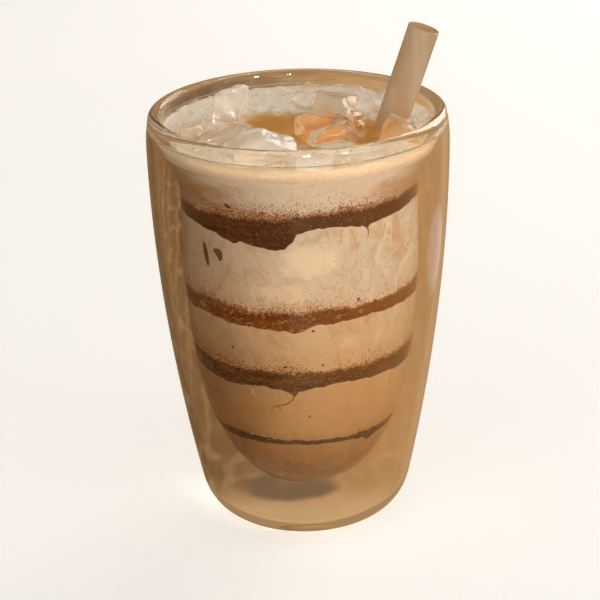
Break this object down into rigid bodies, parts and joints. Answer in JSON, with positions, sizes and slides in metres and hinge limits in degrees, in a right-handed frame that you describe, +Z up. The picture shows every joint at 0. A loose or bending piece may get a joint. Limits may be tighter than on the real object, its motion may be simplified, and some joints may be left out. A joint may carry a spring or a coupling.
{
  "type": "iced coffee in a double-walled glass",
  "caption": "Iced coffee with milk, froth, chocolate rings on the wall, ice cubes and a straw, in a tall double-walled glass.",
  "frame": {"origin": "centre of the glass foot, on the plane it stands on", "axes": "+Z up along the axis of the glass, near side of the glass towards -Y, the straw leans towards +X"},
  "size_m": [0.0842, 0.0842, 0.1454],
  "materials": {
    "clear_glass": "clear, smooth, thin borosilicate",
    "coffee": "smooth brown liquid",
    "milk_coffee": "smooth creamy liquid",
    "froth": "soft fine froth",
    "chocolate": "thick glossy sauce",
    "ice": "wet, cloudy, tinted by the drink",
    "straw": "smooth translucent"
  },
  "bodies": {
    "root": {"glass": "clear_glass", "coffee": "coffee", "milk_coffee": "milk_coffee", "froth": "froth", "chocolate_ring_1": "chocolate", "chocolate_ring_2": "chocolate", "chocolate_ring_3": "chocolate", "chocolate_ring_4": "chocolate", "ice_1": "ice", "ice_2": "ice", "ice_3": "ice", "ice_4": "ice", "ice_5": "ice", "ice_6": "ice", "ice_7": "ice", "ice_8": "ice", "straw": "straw"}
  },
  "joints": []
}
